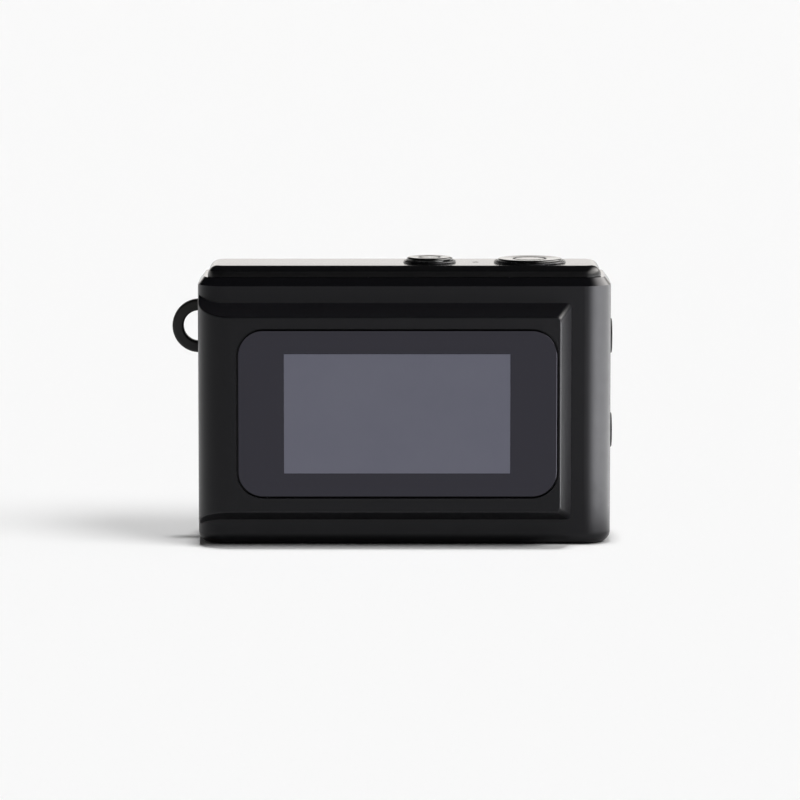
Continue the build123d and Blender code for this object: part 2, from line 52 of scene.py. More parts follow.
def srgb(hexText):
    channels = [int(hexText[i:i + 2], 16) / 255 for i in (0, 2, 4)]
    return [c / 12.92 if c <= 0.04045 else ((c + 0.055) / 1.055) ** 2.4 for c in channels] + [1.0]


def addNode(tree, kind, settings=None, inputs=None):
    node = tree.nodes.new(kind)
    for name, value in (settings or {}).items():
        setattr(node, name, value)
    for name, value in (inputs or {}).items():
        if isinstance(value, bpy.types.NodeSocket):
            tree.links.new(value, node.inputs[name])
        else:
            node.inputs[name].default_value = value
    return node


def newMaterial(name):
    material = bpy.data.materials.new(name)
    material.use_nodes = True
    return material, material.node_tree, material.node_tree.nodes["Principled BSDF"]


cameraSet = {
    "place": (-0.84 * mm, -952.8 * mm, 140.1 * mm),
    "down": 6.8,          # degrees below level
    "lens": 225.0,        # on a 36 mm wide sensor
}

studio = {
    "paper": "f6f6f6",
    "floorHalf": 12.0,
    "sweepHigh": 0.2,
    "sweepRadius": 0.15,
    "keyFrom": (54.0, 49.0),          # degrees from the front towards the right, degrees above level
    "keyAngle": 32.0,                 # degrees across, as seen from the instrument
    "keyPower": 1.56,
    "topAngle": 7.0,                  # a second soft light straight overhead fills the shadow
    "topPower": 1.82,
    "seenWorld": 0.93,                # what shows above the far edge of the floor
    "glossTint": "fffcf8",            # a trace of warmth in the mirrored light
    "fillWorld": 0.07,                # a little even light on matt surfaces
    "glossDark": 0.01,                # the dark room that glossy surfaces mirror
    "glossBack": 1.48,                # the bright low band behind the instrument
    "bandTop": (0.16, 0.34),          # heights between which that band fades
    "glossSide": 11.0,                # the softbox on the right
    "sideLow": (0.2, 0.45),           # heights between which it starts
    "sideTop": (0.75, 0.95),          # and ends
    "sideFrom": (0.3, 0.85),
    "paintedGlowFrom": (0.034, -0.011, 0.0),  # the floor glows in reflections only, fanning out from here
    "paintedGlowRise": (0.25, 0.95),         # its way towards the right at which it starts and is full
    "paintedGlowFade": (-0.6, 0.5),          # its way towards the back between which it weakens
    "paintedGlowPower": (17.0, 4.4),
    "paintedGlowNear": (0.015, 0.06),        # metres from its corner where it starts and is full
}


def makeCamera():
    lens = bpy.data.cameras.new("camera")
    lens.lens = cameraSet["lens"]
    lens.sensor_width = 36.0
    lens.clip_start = 0.05
    lens.clip_end = 60.0
    camera = bpy.data.objects.new("camera", lens)
    bpy.context.scene.collection.objects.link(camera)
    camera.location = cameraSet["place"]
    camera.rotation_euler = (math.radians(90 - cameraSet["down"]), 0, 0)
    bpy.context.scene.camera = camera


def pickFaces(piece, test):
    bpy.ops.object.mode_set(mode="EDIT")
    bpy.ops.mesh.select_mode(type="FACE")
    bpy.ops.mesh.select_all(action="DESELECT")
    bpy.ops.object.mode_set(mode="OBJECT")
    for face in piece.data.polygons:
        face.select = test(face.center, face.normal)
    bpy.ops.object.mode_set(mode="EDIT")


def pickEdges(piece, test):
    bpy.ops.object.mode_set(mode="EDIT")
    bpy.ops.mesh.select_mode(type="EDGE")
    bpy.ops.mesh.select_all(action="DESELECT")
    bpy.ops.object.mode_set(mode="OBJECT")
    points = piece.data.vertices
    for edge in piece.data.edges:
        edge.select = test(*[points[i].co for i in edge.vertices])
    bpy.ops.object.mode_set(mode="EDIT")


def beginPiece(name, primitive, **settings):
    bpy.ops.object.select_all(action="DESELECT")
    primitive(**settings)
    piece = bpy.context.object
    piece.name = name
    piece.data.name = name
    bpy.ops.object.transform_apply(location=True, rotation=True, scale=True)
    return piece


def modify(piece, kind, **settings):
    modifier = piece.modifiers.new(kind.lower(), kind)
    for name, value in settings.items():
        setattr(modifier, name, value)
    bpy.ops.object.modifier_apply(modifier=modifier.name)


def placePiece(piece, body, slotName, finish, *replaced):
    bpy.ops.object.mode_set(mode="OBJECT")
    bpy.ops.object.shade_smooth_by_angle(angle=math.radians(32))
    modify(piece, "WEIGHTED_NORMAL", keep_sharp=True)
    piece.data.materials.clear()
    piece.data.materials.append(finish)
    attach(piece, body)
    if replaced:
        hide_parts(*replaced)


def softLight(name, way, angle, power):
    light = bpy.data.lights.new(name, "SUN")
    light.energy = power
    light.angle = math.radians(angle)
    lamp = bpy.data.objects.new(name, light)
    bpy.context.scene.collection.objects.link(lamp)
    lamp.rotation_euler = way.to_track_quat("Z", "Y").to_euler()
    lamp.visible_glossy = False      # reflections come from the world's softboxes


def makeStudio():
    s = studio
    half = s["floorHalf"]
    sweep = beginPiece("sweep", bpy.ops.mesh.primitive_plane_add, size=2 * half)
    pickEdges(sweep, lambda a, b: a.y > half - 0.01 and b.y > half - 0.01)
    bpy.ops.mesh.extrude_region_move(TRANSFORM_OT_translate={"value": (0, 0, s["sweepHigh"])})
    pickEdges(sweep, lambda a, b: min(a.y, b.y) > half - 0.01 and max(a.z, b.z) < 0.01)
    bpy.ops.mesh.bevel(offset=s["sweepRadius"], segments=12, affect="EDGES")
    bpy.ops.object.mode_set(mode="OBJECT")
    bpy.ops.object.shade_smooth()
    paper, tree, shader = newMaterial("whitePaperPaintedGlow")      # seamless background paper: matt and even to the camera, and it also carries a painted glow that shows only in reflections
    place = addNode(tree, "ShaderNodeTexCoord").outputs["Object"]
    fibre = addNode(tree, "ShaderNodeTexNoise", inputs={"Vector": place, "Scale": 900.0, "Detail": 2.0})
    bump = addNode(tree, "ShaderNodeBump", inputs={
        "Height": fibre.outputs["Fac"], "Distance": 0.01 * mm, "Strength": 0.2})
    shader.inputs["Base Color"].default_value = srgb(s["paper"])
    shader.inputs["Roughness"].default_value = 0.95
    shader.inputs["Specular IOR Level"].default_value = 0.05
    tree.links.new(bump.outputs[0], shader.inputs["Normal"])
    # painted reflection: a patch of floor right of the instrument glows for glossy rays only, a painted
    # softbox that brightens its right-hand roundings
    away = addNode(tree, "ShaderNodeVectorMath", {"operation": "SUBTRACT"}, {0: place, 1: s["paintedGlowFrom"]})
    fan = addNode(tree, "ShaderNodeVectorMath", {"operation": "NORMALIZE"}, {0: away.outputs[0]})
    fanParts = addNode(tree, "ShaderNodeSeparateXYZ", inputs={0: fan.outputs[0]}).outputs
    rise = addNode(tree, "ShaderNodeMapRange", {"interpolation_type": "SMOOTHSTEP"}, {
        "Value": fanParts["X"], "From Min": s["paintedGlowRise"][0], "From Max": s["paintedGlowRise"][1]})
    fade = addNode(tree, "ShaderNodeMapRange", inputs={
        "Value": fanParts["Y"], "From Min": s["paintedGlowFade"][0], "From Max": s["paintedGlowFade"][1],
        "To Min": s["paintedGlowPower"][0], "To Max": s["paintedGlowPower"][1]})
    reach = addNode(tree, "ShaderNodeVectorMath", {"operation": "LENGTH"}, {0: away.outputs[0]})
    near = addNode(tree, "ShaderNodeMapRange", {"interpolation_type": "SMOOTHSTEP"}, {
        "Value": reach.outputs["Value"], "From Min": s["paintedGlowNear"][0], "From Max": s["paintedGlowNear"][1]})
    part = addNode(tree, "ShaderNodeMath", {"operation": "MULTIPLY"}, {0: rise.outputs[0], 1: near.outputs[0]})
    glow = addNode(tree, "ShaderNodeMath", {"operation": "MULTIPLY"}, {0: part.outputs[0], 1: fade.outputs[0]})
    mirrored = addNode(tree, "ShaderNodeMath", {"operation": "MULTIPLY"}, {
        0: glow.outputs[0], 1: addNode(tree, "ShaderNodeLightPath").outputs["Is Glossy Ray"]})
    shader.inputs["Emission Color"].default_value = (1, 1, 1, 1)
    tree.links.new(mirrored.outputs[0], shader.inputs["Emission Strength"])
    paper.cycles.emission_sampling = "NONE"      # it lights nothing, and only shows in reflections
    sweep.data.materials.append(paper)
    turn, up = (math.radians(angle) for angle in s["keyFrom"])
    keyWay = Vector((math.sin(turn) * math.cos(up), -math.cos(turn) * math.cos(up), math.sin(up)))
    softLight("keyLight", keyWay, s["keyAngle"], s["keyPower"])
    softLight("topLight", Vector((0, 0, 1)), s["topAngle"], s["topPower"])
    world = bpy.data.worlds.new("studioWorld")
    bpy.context.scene.world = world
    world.use_nodes = True
    world.cycles.sampling_method = "NONE"     # so that each kind of ray meets its own brightness
    tree = world.node_tree
    tree.nodes.clear()
    white = (1, 1, 1, 1)
    way = addNode(tree, "ShaderNodeTexCoord").outputs["Generated"]
    parts = addNode(tree, "ShaderNodeSeparateXYZ", inputs={0: way}).outputs
    behind = addNode(tree, "ShaderNodeMapRange", {"interpolation_type": "SMOOTHSTEP"}, {
        "Value": parts["Y"], "From Min": -0.1, "From Max": 0.4, "To Min": 0.0, "To Max": s["glossBack"]})
    below = addNode(tree, "ShaderNodeMapRange", {"interpolation_type": "SMOOTHSTEP"}, {
        "Value": parts["Z"], "From Min": s["bandTop"][0], "From Max": s["bandTop"][1],
        "To Min": 1.0, "To Max": 0.0})
    beside = addNode(tree, "ShaderNodeMapRange", {"interpolation_type": "SMOOTHSTEP"}, {
        "Value": parts["X"], "From Min": s["sideFrom"][0], "From Max": s["sideFrom"][1]})
    under = addNode(tree, "ShaderNodeMapRange", {"interpolation_type": "SMOOTHSTEP"}, {
        "Value": parts["Z"], "From Min": s["sideTop"][0], "From Max": s["sideTop"][1],
        "To Min": s["glossSide"], "To Max": 0.0})
    over = addNode(tree, "ShaderNodeMapRange", {"interpolation_type": "SMOOTHSTEP"}, {
        "Value": parts["Z"], "From Min": s["sideLow"][0], "From Max": s["sideLow"][1]})
    upright = addNode(tree, "ShaderNodeMath", {"operation": "MULTIPLY"}, {
        0: under.outputs[0], 1: over.outputs[0]})
    box = addNode(tree, "ShaderNodeMath", {"operation": "MULTIPLY_ADD"}, {
        0: beside.outputs[0], 1: upright.outputs[0], 2: s["glossDark"]})
    band = addNode(tree, "ShaderNodeMath", {"operation": "MULTIPLY_ADD"}, {
        0: behind.outputs[0], 1: below.outputs[0], 2: box.outputs[0]})
    path = addNode(tree, "ShaderNodeLightPath")
    seen = addNode(tree, "ShaderNodeBackground", inputs={"Color": white, "Strength": s["seenWorld"]})
    fill = addNode(tree, "ShaderNodeBackground", inputs={"Color": white, "Strength": s["fillWorld"]})
    gloss = addNode(tree, "ShaderNodeBackground", inputs={
        "Color": srgb(s["glossTint"]), "Strength": band.outputs[0]})
    lit = addNode(tree, "ShaderNodeMixShader", inputs={
        0: path.outputs["Is Diffuse Ray"], 1: gloss.outputs[0], 2: fill.outputs[0]})
    mixed = addNode(tree, "ShaderNodeMixShader", inputs={
        0: path.outputs["Is Camera Ray"], 1: lit.outputs[0], 2: seen.outputs[0]})
    addNode(tree, "ShaderNodeOutputWorld", inputs={"Surface": mixed.outputs[0]})
    bpy.context.scene.view_settings.view_transform = "Standard"


makeCamera()
makeStudio()
print("camera and studio set")


def speckled(name, look):
    # two close colours in patches, a fine grain in relief, and handling marks in the gloss
    material, tree, shader = newMaterial(name)
    place = addNode(tree, "ShaderNodeTexCoord").outputs["Object"]
    patch = addNode(tree, "ShaderNodeTexNoise", inputs={
        "Vector": place, "Scale": 1 / (look["patch"] * mm), "Detail": 4.0, "Roughness": 0.6})
    grain = addNode(tree, "ShaderNodeTexNoise", inputs={
        "Vector": place, "Scale": 1 / (look["grain"] * mm), "Detail": 2.0, "Roughness": 0.55})
    marks = addNode(tree, "ShaderNodeTexNoise", inputs={
        "Vector": place, "Scale": 1 / (look.get("marks", 2.5) * mm), "Detail": 6.0, "Distortion": 1.4})
    colour = addNode(tree, "ShaderNodeMix", {"data_type": "RGBA"}, {
        0: patch.outputs["Fac"], 6: srgb(look["colours"][0]), 7: srgb(look["colours"][1])})
    mixed = addNode(tree, "ShaderNodeMath", {"operation": "MULTIPLY_ADD"}, {
        0: grain.outputs["Fac"], 1: 0.35, 2: marks.outputs["Fac"]})
    rough = addNode(tree, "ShaderNodeMapRange", inputs={
        "Value": mixed.outputs[0], "From Min": 0.45, "From Max": 0.95,
        "To Min": look["rough"][0], "To Max": look["rough"][1]})
    bump = addNode(tree, "ShaderNodeBump", inputs={
        "Height": grain.outputs["Fac"], "Distance": look["depth"] * mm, "Strength": look.get("relief", 0.5)})
    if "polishedAbove" in look:
        height = addNode(tree, "ShaderNodeSeparateXYZ", inputs={0: place}).outputs["Z"]
        band = addNode(tree, "ShaderNodeMath", {"operation": "GREATER_THAN"}, {
            0: height, 1: look["polishedAbove"]})
        rough = addNode(tree, "ShaderNodeMix", {"data_type": "FLOAT"}, {
            0: band.outputs[0], 2: rough.outputs[0], 3: look["polishedRough"]})
        relief = addNode(tree, "ShaderNodeMapRange", inputs={
            "Value": band.outputs[0], "To Min": look.get("relief", 0.5), "To Max": 0.0})
        tree.links.new(relief.outputs[0], bump.inputs["Strength"])
    for socket, value in look.get("sockets", {}).items():
        shader.inputs[socket].default_value = value
    tree.links.new(colour.outputs[2], shader.inputs["Base Color"])
    tree.links.new(rough.outputs[0], shader.inputs["Roughness"])
    tree.links.new(bump.outputs[0], shader.inputs["Normal"])
    return material


def lined(name, look):
    # a metal with fine lines along one way, from rolling, brushing or turning
    material, tree, shader = newMaterial(name)
    place = addNode(tree, "ShaderNodeTexCoord").outputs["Object"]
    drawn = addNode(tree, "ShaderNodeMapping", inputs={
        "Vector": place, "Scale": [1 / (size * mm) for size in look["line"]]})
    lines = addNode(tree, "ShaderNodeTexNoise", inputs={
        "Vector": drawn.outputs[0], "Scale": 1.0, "Detail": 3.0, "Roughness": 0.7})
    colour = addNode(tree, "ShaderNodeMix", {"data_type": "RGBA"}, {
        0: lines.outputs["Fac"], 6: srgb(look["colours"][0]), 7: srgb(look["colours"][1])})
    rough = addNode(tree, "ShaderNodeMapRange", inputs={
        "Value": lines.outputs["Fac"], "From Min": 0.3, "From Max": 0.7,
        "To Min": look["rough"][0], "To Max": look["rough"][1]})
    bump = addNode(tree, "ShaderNodeBump", inputs={
        "Height": lines.outputs["Fac"], "Distance": look["depth"] * mm, "Strength": 0.5})
    shader.inputs["Metallic"].default_value = 1.0
    tree.links.new(colour.outputs[2], shader.inputs["Base Color"])
    tree.links.new(rough.outputs[0], shader.inputs["Roughness"])
    tree.links.new(bump.outputs[0], shader.inputs["Normal"])
    return material


def striped(name, look):
    # parallel bars along one axis: tracks in a ribbon, threads of a mesh
    material, tree, shader = newMaterial(name)
    place = addNode(tree, "ShaderNodeTexCoord").outputs["Object"]
    bars = []
    for axis in look["across"]:
        wave = addNode(tree, "ShaderNodeTexWave", {"bands_direction": axis}, {
            "Vector": place, "Scale": math.pi / (10 * look["pitch"] * mm), "Distortion": 0.0, "Detail": 0.0})
        bars.append(wave.outputs["Fac"])
    height = bars[0]
    if len(bars) > 1:
        height = addNode(tree, "ShaderNodeMath", {"operation": "MAXIMUM"}, {0: bars[0], 1: bars[1]}).outputs[0]
    edge = addNode(tree, "ShaderNodeMapRange", {"interpolation_type": "SMOOTHSTEP"}, {
        "Value": height, "From Min": look["edge"][0], "From Max": look["edge"][1]})
    colour = addNode(tree, "ShaderNodeMix", {"data_type": "RGBA"}, {
        0: edge.outputs[0], 6: srgb(look["colours"][0]), 7: srgb(look["colours"][1])})
    rough = addNode(tree, "ShaderNodeMapRange", inputs={
        "Value": edge.outputs[0], "To Min": look["rough"][0], "To Max": look["rough"][1]})
    bump = addNode(tree, "ShaderNodeBump", inputs={
        "Height": edge.outputs[0], "Distance": look["depth"] * mm, "Strength": 0.8})
    for socket, value in look.get("sockets", {}).items():
        shader.inputs[socket].default_value = value
    tree.links.new(colour.outputs[2], shader.inputs["Base Color"])
    tree.links.new(rough.outputs[0], shader.inputs["Roughness"])
    tree.links.new(bump.outputs[0], shader.inputs["Normal"])
    return material


def circuitBoard(name, look):
    # solder resist over copper: tracks show as a lighter green relief, pads as small tinned squares
    material, tree, shader = newMaterial(name)
    place = addNode(tree, "ShaderNodeTexCoord").outputs["Object"]
    turned = addNode(tree, "ShaderNodeMapping", inputs={"Vector": place, "Rotation": (math.radians(90), 0, 0)})
    tracks = addNode(tree, "ShaderNodeTexBrick", inputs={
        "Vector": turned.outputs[0], "Scale": 1.0, "Mortar Size": look["track"] * mm,
        "Brick Width": look["run"] * mm, "Row Height": look["pitch"] * mm, "Mortar Smooth": 0.2})
    pads = addNode(tree, "ShaderNodeTexVoronoi", {"distance": "CHEBYCHEV"}, {
        "Vector": place, "Scale": 1 / (look["padPitch"] * mm), "Randomness": 0.6})
    pad = addNode(tree, "ShaderNodeMath", {"operation": "LESS_THAN"}, {
        0: pads.outputs["Distance"], 1: look["padSize"]})
    resist = addNode(tree, "ShaderNodeMix", {"data_type": "RGBA"}, {
        0: tracks.outputs["Fac"], 6: srgb(look["resist"]), 7: srgb(look["overCopper"])})
    colour = addNode(tree, "ShaderNodeMix", {"data_type": "RGBA"}, {
        0: pad.outputs[0], 6: resist.outputs[2], 7: srgb(look["tin"])})
    rough = addNode(tree, "ShaderNodeMapRange", inputs={
        "Value": tracks.outputs["Fac"], "To Min": 0.34, "To Max": 0.26})
    bump = addNode(tree, "ShaderNodeBump", inputs={
        "Height": tracks.outputs["Fac"], "Distance": look["copper"] * mm, "Strength": 0.6})
    tree.links.new(colour.outputs[2], shader.inputs["Base Color"])
    tree.links.new(pad.outputs[0], shader.inputs["Metallic"])
    tree.links.new(rough.outputs[0], shader.inputs["Roughness"])
    tree.links.new(bump.outputs[0], shader.inputs["Normal"])
    return material


def openCellFoam(name, look):
    # polyurethane foam: dark pores between soft cell walls
    material, tree, shader = newMaterial(name)
    place = addNode(tree, "ShaderNodeTexCoord").outputs["Object"]
    cells = addNode(tree, "ShaderNodeTexVoronoi", {"feature": "SMOOTH_F1"}, {
        "Vector": place, "Scale": 1 / (look["cell"] * mm), "Smoothness": 0.4})
    colour = addNode(tree, "ShaderNodeMix", {"data_type": "RGBA"}, {
        0: cells.outputs["Distance"], 6: srgb(look["colours"][0]), 7: srgb(look["colours"][1])})
    bump = addNode(tree, "ShaderNodeBump", {"invert": True}, {
        "Height": cells.outputs["Distance"], "Distance": look["depth"] * mm, "Strength": 0.8})
    shader.inputs["Roughness"].default_value = 0.95
    shader.inputs["Specular IOR Level"].default_value = 0.2
    tree.links.new(colour.outputs[2], shader.inputs["Base Color"])
    tree.links.new(bump.outputs[0], shader.inputs["Normal"])
    return material


# injection-moulded ABS from a spark-eroded tool: black, satin, a fine even grain
# specular levels of the black plastics are fitted to these lights and lie well under the usual 0.5
mouldedAbs = speckled("mouldedAbs", {
    "colours": ("0a0a0c", "0e0e10"), "patch": 9.0, "grain": 0.16, "depth": 0.01, "rough": (0.3, 0.37),
    "polishedAbove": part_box("front_shell")[1].z - 1.5 * mm,   # the bevel round the top is polished
    "polishedRough": 0.14,
    "sockets": {"Specular IOR Level": 0.23, "Specular Tint": srgb("fafaff")}})
# the same ABS with a polished top: mirrors a bright backdrop when seen flat, satin round its wall
polishedAbs = speckled("polishedAbs", {
    "colours": ("0b0b0c", "0f0f10"), "patch": 12.0, "grain": 0.16, "depth": 0.01, "rough": (0.3, 0.37),
    "polishedAbove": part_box("top_cap")[1].z - 1.0 * mm, "polishedRough": 0.16,
    "sockets": {"Specular IOR Level": 0.22}})
# side keys in the same moulded ABS; specular level set low only to hold down their highlights
keyAbs = speckled("keyAbs", {
    "colours": ("0a0a0b", "0e0e0f"), "patch": 3.0, "grain": 0.14, "depth": 0.008, "rough": (0.34, 0.42),
    "sockets": {"Specular IOR Level": 0.07}})
# die-cast zinc with a baked powder coat: matt, slightly pebbled
powderCoat = speckled("powderCoat", {
    "colours": ("080807", "0d0c0b"), "patch": 1.5, "grain": 0.28, "depth": 0.03, "rough": (0.5, 0.62)})
# cover glass printed black from behind: deep black with a sharp, faintly violet reflection
printedGlass = speckled("printedGlass", {
    "colours": ("030304", "050507"), "patch": 20.0, "grain": 1.6, "depth": 0.0001, "rough": (0.03, 0.06),
    "sockets": {"Specular Tint": srgb("ebe8ff"), "IOR": 1.52}})
# switched-off liquid crystal behind its polariser: smoky blue-grey
polariser = speckled("polariser", {
    "colours": ("5e5f6d", "676875"), "patch": 16.0, "grain": 0.14, "depth": 0.0002, "rough": (0.04, 0.08),
    "sockets": {"Specular Tint": srgb("f2f0ff"), "IOR": 1.52}})
# white polycarbonate light guide and tray: soft white with a faint dot pattern
whitePolycarbonate = speckled("whitePolycarbonate", {
    "colours": ("e6e6e2", "f2f2ef"), "patch": 1.0, "grain": 0.4, "depth": 0.02, "rough": (0.3, 0.5)})
# turned caps in satin-painted aluminium: black, smooth, clear highlights
satinPaint = speckled("satinPaint", {
    "colours": ("070707", "0b0b0b"), "patch": 3.0, "grain": 0.1, "depth": 0.003, "rough": (0.12, 0.18),
    "sockets": {"Specular IOR Level": 0.4}})
# black anodised collars, bead-blasted first: dark metal with a silky edge
blackAnodised = speckled("blackAnodised", {
    "colours": ("141416", "1c1c1e"), "patch": 0.8, "grain": 0.08, "depth": 0.004, "rough": (0.22, 0.32),
    "sockets": {"Metallic": 0.7}})
# blackened steel screws: dark, oily, a little uneven
blackenedSteel = speckled("blackenedSteel", {
    "colours": ("1d1c1b", "2c2a28"), "patch": 0.7, "grain": 0.12, "depth": 0.006, "rough": (0.28, 0.42),
    "sockets": {"Metallic": 1.0}})
springSteel = lined("springSteel", {     # rolled strip: bright, lines along the roll
    "colours": ("9a9894", "c4c2be"), "line": (3.0, 3.0, 0.06), "depth": 0.004, "rough": (0.22, 0.36)})
drawnSteel = lined("drawnSteel", {       # deep-drawn nickel-plated cans: bright, faintly streaked
    "colours": ("a8a6a0", "cfcdc8"), "line": (0.08, 2.5, 2.5), "depth": 0.003, "rough": (0.2, 0.34)})
tubeMetal = lined("tubeMetal", {         # drawn stainless counter tube: cool grey with drawing lines
    "colours": ("8f9092", "bcbdc0"), "line": (8.0, 0.09, 0.09), "depth": 0.004, "rough": (0.2, 0.32)})
machinedBrass = lined("machinedBrass", {  # free-cutting brass: yellow, fine turning marks
    "colours": ("b08d46", "d3b064"), "line": (1.5, 0.07, 1.5), "depth": 0.006, "rough": (0.24, 0.4)})
pouchFoil = lined("pouchFoil", {         # aluminium laminate of a pouch cell: creased and soft
    "colours": ("a9abae", "d4d5d6"), "line": (2.2, 2.2, 0.9), "depth": 0.06, "rough": (0.3, 0.45)})
# silicone seal: matt black, dusty in patches
siliconeRubber = speckled("siliconeRubber", {
    "colours": ("0d0d0d", "191919"), "patch": 1.2, "grain": 0.1, "depth": 0.01, "rough": (0.65, 0.8)})
# glass-filled nylon tray: mid grey, mottled by the fibres
filledNylon = speckled("filledNylon", {
    "colours": ("4a4b4d", "5c5d5f"), "patch": 0.6, "grain": 0.12, "depth": 0.015, "rough": (0.48, 0.62)})
# epoxy-moulded chips: near black, sanded-looking
mouldedEpoxy = speckled("mouldedEpoxy", {
    "colours": ("121213", "1b1b1c"), "patch": 0.5, "grain": 0.07, "depth": 0.008, "rough": (0.5, 0.62)})
# fired ceramic capacitors: tan, slightly chalky
firedCeramic = speckled("firedCeramic", {
    "colours": ("9c7b56", "b8966d"), "patch": 0.4, "grain": 0.1, "depth": 0.008, "rough": (0.5, 0.65)})
# pressed ferrite core: dark grey, granular
pressedFerrite = speckled("pressedFerrite", {
    "colours": ("2b2b2d", "3c3c3f"), "patch": 0.5, "grain": 0.12, "depth": 0.02, "rough": (0.5, 0.68)})
# natural acetal plungers and plug: milky white, waxy
naturalAcetal = speckled("naturalAcetal", {
    "colours": ("dcdad2", "ebe9e2"), "patch": 1.0, "grain": 0.15, "depth": 0.004, "rough": (0.35, 0.45),
    "sockets": {"Subsurface Weight": 0.15, "Subsurface Radius": (0.001, 0.001, 0.001)}})
# acrylic light pipe: clear with a slight smoke, dark when the lamp is off
smokedAcrylic = speckled("smokedAcrylic", {
    "colours": ("1c1c1d", "262627"), "patch": 0.8, "grain": 0.2, "depth": 0.001, "rough": (0.08, 0.14),
    "sockets": {"IOR": 1.49}})
# phenolic sounder case: black with a dull shine
phenolic = speckled("phenolic", {
    "colours": ("0f0e0d", "1a1816"), "patch": 0.8, "grain": 0.1, "depth": 0.008, "rough": (0.4, 0.52)})
# PVC-insulated leads: red, smooth
redPvc = speckled("redPvc", {
    "colours": ("8e1712", "a61d17"), "patch": 1.5, "grain": 0.3, "depth": 0.004, "rough": (0.34, 0.44)})
greyFoam = openCellFoam("greyFoam", {"colours": ("3a3b3d", "6b6c6e"), "cell": 0.35, "depth": 0.12})
# polyimide ribbon: amber film, copper tracks showing through at 0.5 mm pitch
polyimide = striped("polyimide", {
    "colours": ("9a5a14", "c98a35"), "across": "XZ", "pitch": 0.5, "edge": (0.45, 0.6),
    "depth": 0.012, "rough": (0.28, 0.34)})
# woven polyester mesh: black threads at 0.3 mm, as coarse as it has to be to show
wovenMesh = striped("wovenMesh", {
    "colours": ("040404", "1d1d1e"), "across": "XZ", "pitch": 0.3, "edge": (0.4, 0.7),
    "depth": 0.08, "rough": (0.85, 0.6)})
greenBoard = circuitBoard("greenBoard", {
    "resist": "0f3d22", "overCopper": "1c5a33", "tin": "b9b9b4", "track": 0.14, "run": 3.1, "pitch": 0.62,
    "padPitch": 2.4, "padSize": 0.13, "copper": 0.035})

finishes = {
    "shell_black": mouldedAbs, "cap_black": polishedAbs, "loop_black": powderCoat,
    "window_glass": printedGlass, "display_dark": polariser, "reflector_white": whitePolycarbonate,
    "button_black": satinPaint, "collar_black": blackAnodised, "spring_steel": springSteel,
    "screw_steel": blackenedSteel, "insert_brass": machinedBrass, "seal_rubber": siliconeRubber,
    "foam_grey": greyFoam, "tray_grey": filledNylon, "flex_amber": polyimide, "board_green": greenBoard,
    "chip_black": mouldedEpoxy, "ceramic_tan": firedCeramic, "core_grey": pressedFerrite,
    "switch_steel": drawnSteel, "plunger_white": naturalAcetal, "lamp_clear": smokedAcrylic,
    "tube_metal": tubeMetal, "membrane_dark": wovenMesh, "sounder_black": phenolic,
    "battery_foil": pouchFoil, "lead_red": redPvc,
}
for part in frame["record"]["subparts"]:
    skin = nodes[part["node"]].data.materials
    for i in range(max(1, len(skin))):
        if len(skin) <= i:
            skin.append(finishes[part["material_slot"]])
        skin[i] = finishes[part["material_slot"]]
print("finishes set on", len(nodes), "nodes")


turnedLook = {               # millimetres
    "sides": 96,
    "softEdge": 0.03,
    "powerCap": {"radius": 4.4, "deep": 1.7, "rim": 0.4, "rings": [
        (0.5, 0.0), (0.25, -0.03), (0.55, -0.03), (0.5, -0.01),
        (0.12, -0.14), (0.26, 0.0), (0.12, 0.14), (0.6, -0.01), (0.6, 0.0)]},
    "measureCap": {"radius": 6.25, "deep": 1.45, "rim": 0.4, "rings": [
        (0.5, 0.0), (0.3, -0.03), (0.75, -0.04), (1.0, -0.02),
        (0.14, -0.14), (0.3, 0.0), (0.14, 0.14), (1.0, -0.01), (0.9, 0.0)]},
    "keyCap": {"radius": 3.37, "deep": 2.09, "rim": 0.3, "rings": [
        (0.35, 0.0), (0.2, -0.1), (0.25, 0.0), (0.2, 0.06), (0.5, 0.02), (0.6, 0.01)]},
}


def makeTurned(name, look, node, out, stem, body, finish):
    # a turned cap: rim, rings in its face, and a stem whose steps are (radius, height along out)
    low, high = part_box(node)
    middle = (low + high) / 2
    middle -= out * middle.dot(out)
    top = high.dot(out)
    radius = look["radius"] * mm
    deep = look["deep"] * mm
    cap = beginPiece(name, bpy.ops.mesh.primitive_cylinder_add, vertices=turnedLook["sides"], radius=radius,
                     depth=deep, location=middle + out * (top - deep / 2),
                     rotation=out.to_track_quat("Z", "Y").to_euler())
    pickEdges(cap, lambda a, b: min(a.dot(out), b.dot(out)) > top - 0.01 * mm)
    bpy.ops.mesh.bevel(offset=look["rim"] * mm, segments=6, affect="EDGES")
    pickFaces(cap, lambda centre, normal: normal.dot(out) > 0.9999)
    for width, rise in look["rings"]:
        bpy.ops.mesh.inset(thickness=width * mm)
        bpy.ops.transform.translate(value=out * rise * mm)
    pickFaces(cap, lambda centre, normal: normal.dot(out) < -0.9999)
    level = top - deep
    for stepRadius, stepEnd in stem:
        if stepRadius < radius:
            bpy.ops.mesh.inset(thickness=radius - stepRadius)
        else:
            growth = stepRadius / radius
            bpy.ops.mesh.extrude_region_move(TRANSFORM_OT_translate={"value": (0, 0, 0)})
            bpy.ops.transform.resize(value=[1 if abs(v) > 0.5 else growth for v in out],
                                     center_override=middle + out * level)
        bpy.ops.mesh.extrude_region_move(TRANSFORM_OT_translate={"value": out * (stepEnd - level)})
        radius, level = stepRadius, stepEnd
    bpy.ops.object.mode_set(mode="OBJECT")
    modify(cap, "BEVEL", width=turnedLook["softEdge"] * mm, segments=2, limit_method="ANGLE",
           angle_limit=math.radians(30))
    placePiece(cap, body, "button_black", finish, node)


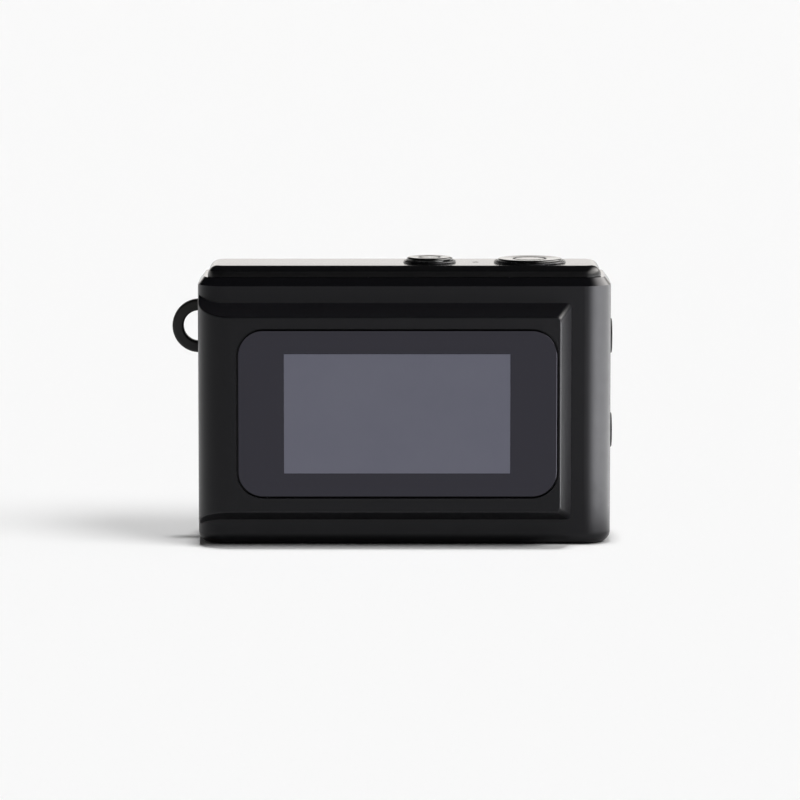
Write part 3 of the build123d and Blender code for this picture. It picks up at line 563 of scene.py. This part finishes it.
for press in ("power", "measure"):
    clipLow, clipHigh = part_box(press + "_button_clip")
    makeTurned(press + "Cap", turnedLook[press + "Cap"], press + "_button", Vector((0, 0, 1)), [
        (2.5 * mm, clipHigh.z), (2.1 * mm, clipLow.z), (2.5 * mm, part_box(press + "_button")[0].z),
    ], press + "_press_body", satinPaint)
for key in ("upper", "lower"):
    keyLow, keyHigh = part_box(key + "_side_key")
    makeTurned(key + "KeyCap", turnedLook["keyCap"], key + "_side_key", Vector((1, 0, 0)), [
        (4.12 * mm, keyHigh.x - 2.79 * mm), (1.5 * mm, keyLow.x),
    ], key + "_key_body", keyAbs)
print("buttons and keys made")


windowLook = {
    "cornerRadius": 4.7,   # mm
    "edgeRound": 0.1,
    "opening": (42.72, 22.70),
    "openingPlace": (-1.39, 25.78),
    "gap": 0.03,           # hair gap round the display
    "sunk": 0.03,          # how far the display's face sits behind the glass
    "faceRound": 0.02,
}


def makeWindow():
    look = windowLook
    low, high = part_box("display_window")
    middle = (low + high) / 2
    size = high - low
    glass = beginPiece("coverGlass", bpy.ops.mesh.primitive_cube_add, size=1, location=middle, scale=size)
    pickEdges(glass, lambda a, b: abs(a.y - b.y) > size.y / 2)
    bpy.ops.mesh.bevel(offset=look["cornerRadius"] * mm, segments=20, affect="EDGES")
    pickEdges(glass, lambda a, b: max(a.y, b.y) < low.y + 0.01 * mm)
    bpy.ops.mesh.bevel(offset=look["edgeRound"] * mm, segments=4, affect="EDGES")
    bpy.ops.object.mode_set(mode="OBJECT")
    wide, tall = (v * mm for v in look["opening"])
    x, z = (v * mm for v in look["openingPlace"])
    cutter = beginPiece("openingCutter", bpy.ops.mesh.primitive_cube_add, size=1, location=(x, middle.y, z),
                        scale=(wide + 2 * look["gap"] * mm, 4 * size.y, tall + 2 * look["gap"] * mm))
    bpy.ops.object.select_all(action="DESELECT")
    glass.select_set(True)
    bpy.context.view_layer.objects.active = glass
    modify(glass, "BOOLEAN", operation="DIFFERENCE", object=cutter, solver="EXACT")
    bpy.data.objects.remove(cutter)
    placePiece(glass, "case", "window_glass", printedGlass, "display_window")
    panelLow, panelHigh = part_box("display_panel")
    front = low.y + look["sunk"] * mm
    face = beginPiece("displayFace", bpy.ops.mesh.primitive_cube_add, size=1,
                      location=(x, (front + panelLow.y) / 2, z), scale=(wide, panelLow.y - front, tall))
    pickFaces(face, lambda centre, normal: normal.y > 0.9)
    bpy.ops.mesh.extrude_region_move(TRANSFORM_OT_translate={"value": (0, 0, 0)})
    panelMiddle, panelSize = (panelLow + panelHigh) / 2, panelHigh - panelLow
    bpy.ops.transform.resize(value=(panelSize.x / wide, 1, panelSize.z / tall),
                             center_override=(x, panelLow.y, z))
    bpy.ops.transform.translate(value=(panelMiddle.x - x, 0, panelMiddle.z - z))
    bpy.ops.mesh.extrude_region_move(TRANSFORM_OT_translate={"value": (0, panelSize.y, 0)})
    bpy.ops.object.mode_set(mode="OBJECT")
    modify(face, "BEVEL", width=look["faceRound"] * mm, segments=2, limit_method="ANGLE",
           angle_limit=math.radians(30))
    placePiece(face, "case", "display_dark", polariser, "display_panel")


makeWindow()
print("cover glass and display made")
